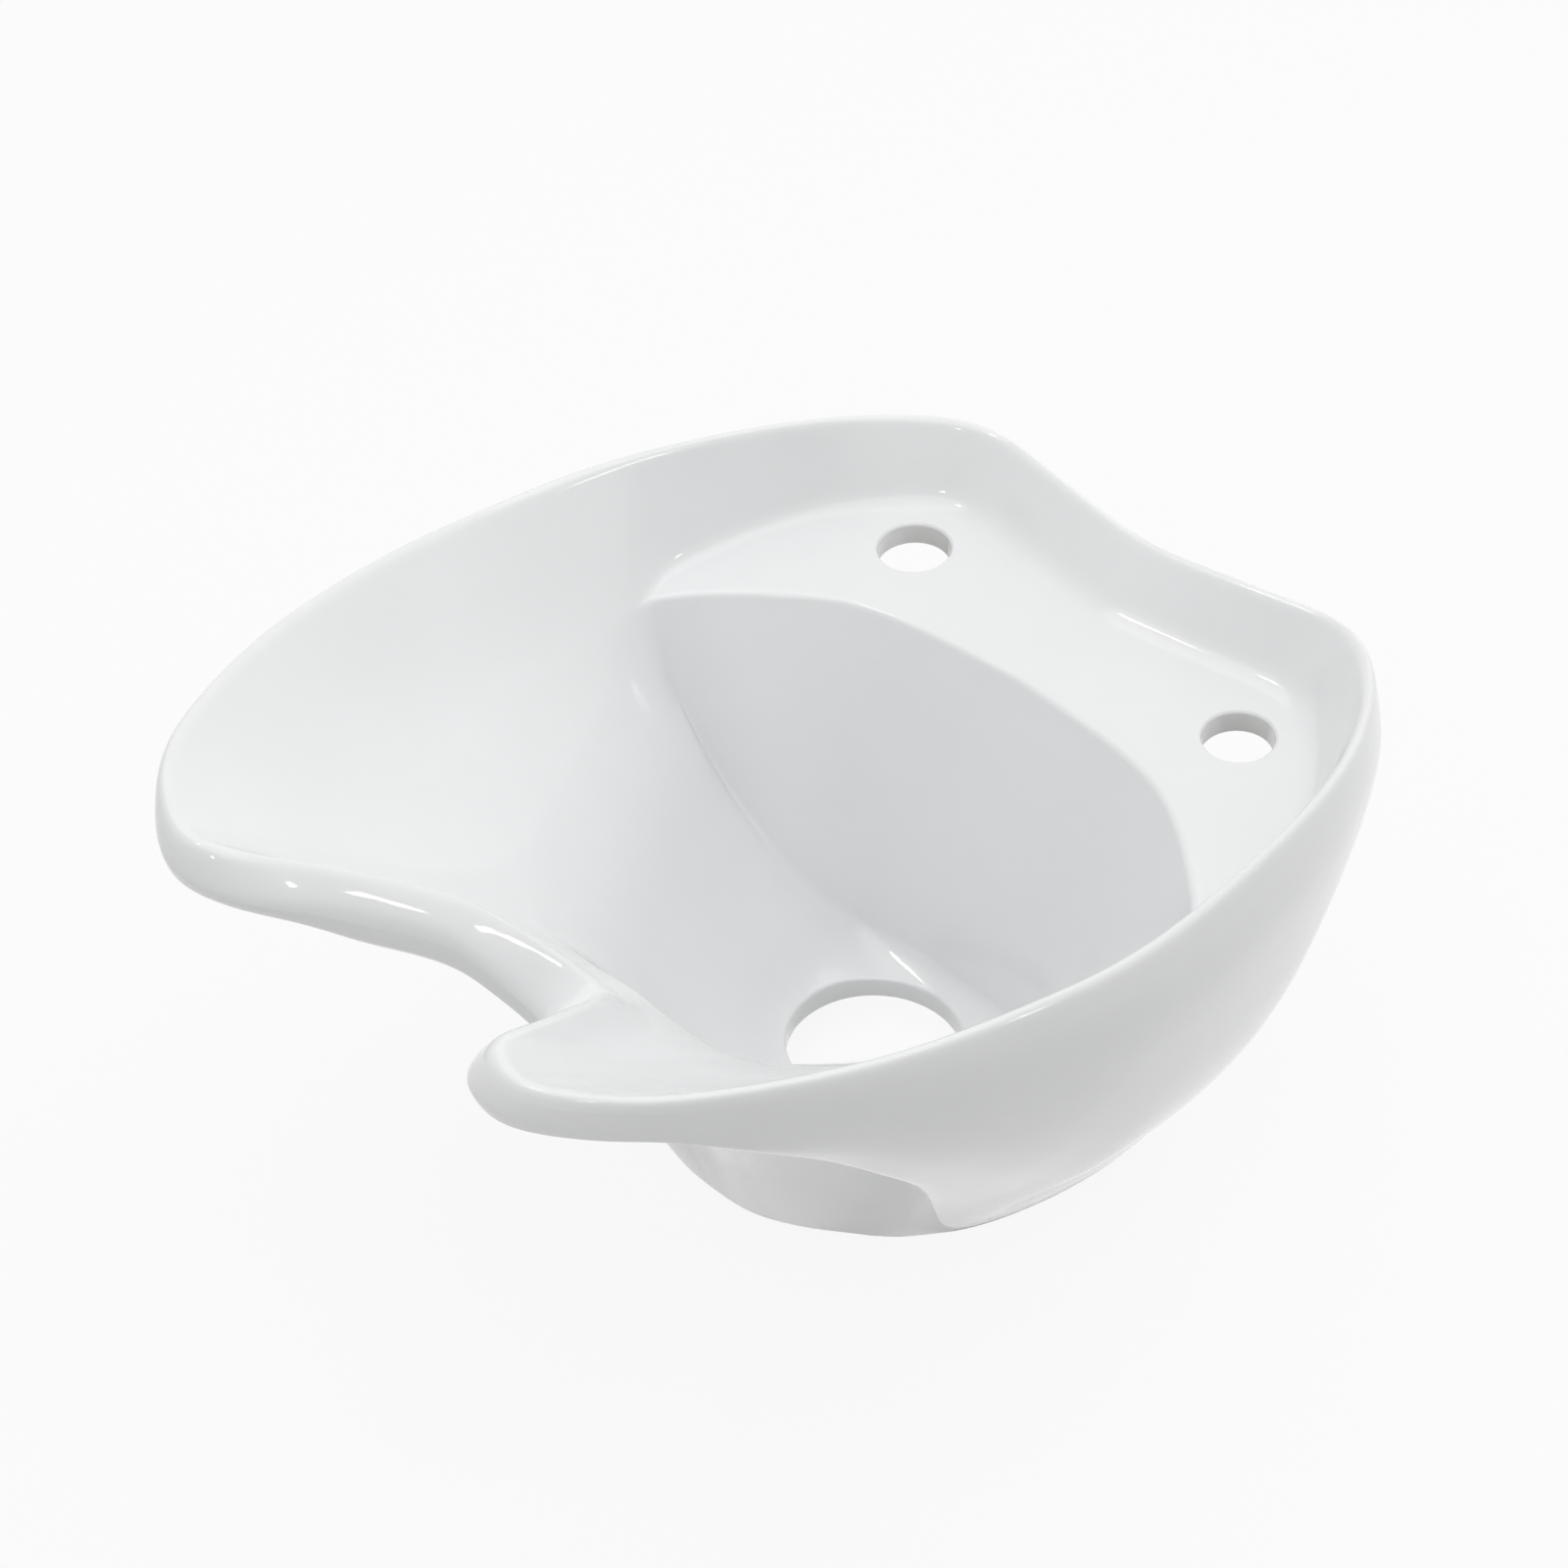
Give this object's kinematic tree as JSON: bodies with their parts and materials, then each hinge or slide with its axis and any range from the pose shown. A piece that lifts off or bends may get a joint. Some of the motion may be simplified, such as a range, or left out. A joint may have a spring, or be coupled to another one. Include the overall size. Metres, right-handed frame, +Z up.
{
  "type": "salon shampoo basin",
  "caption": "Salon backwash basin in white glazed china: neck notch between raised horns, round waste hole, rear shelf with tap holes, open-backed skirt standing on a foot.",
  "frame": {"origin": "centre of the four fixing screws, on the axis of the waste hole, in the plane the foot stands on", "axes": "+X to the right of a person facing the tap shelf, +Y from the neck notch to the tap shelf, +Z up along the waste hole's axis"},
  "size_m": [0.4366, 0.5166, 0.2833],
  "materials": {
    "glazed_china": "gloss white glaze",
    "resin": "cast resin",
    "brass": "plain turned brass"
  },
  "bodies": {
    "root": {"bowl": "glazed_china", "insert_bedding": "resin", "threaded_inserts": "brass"}
  },
  "joints": []
}
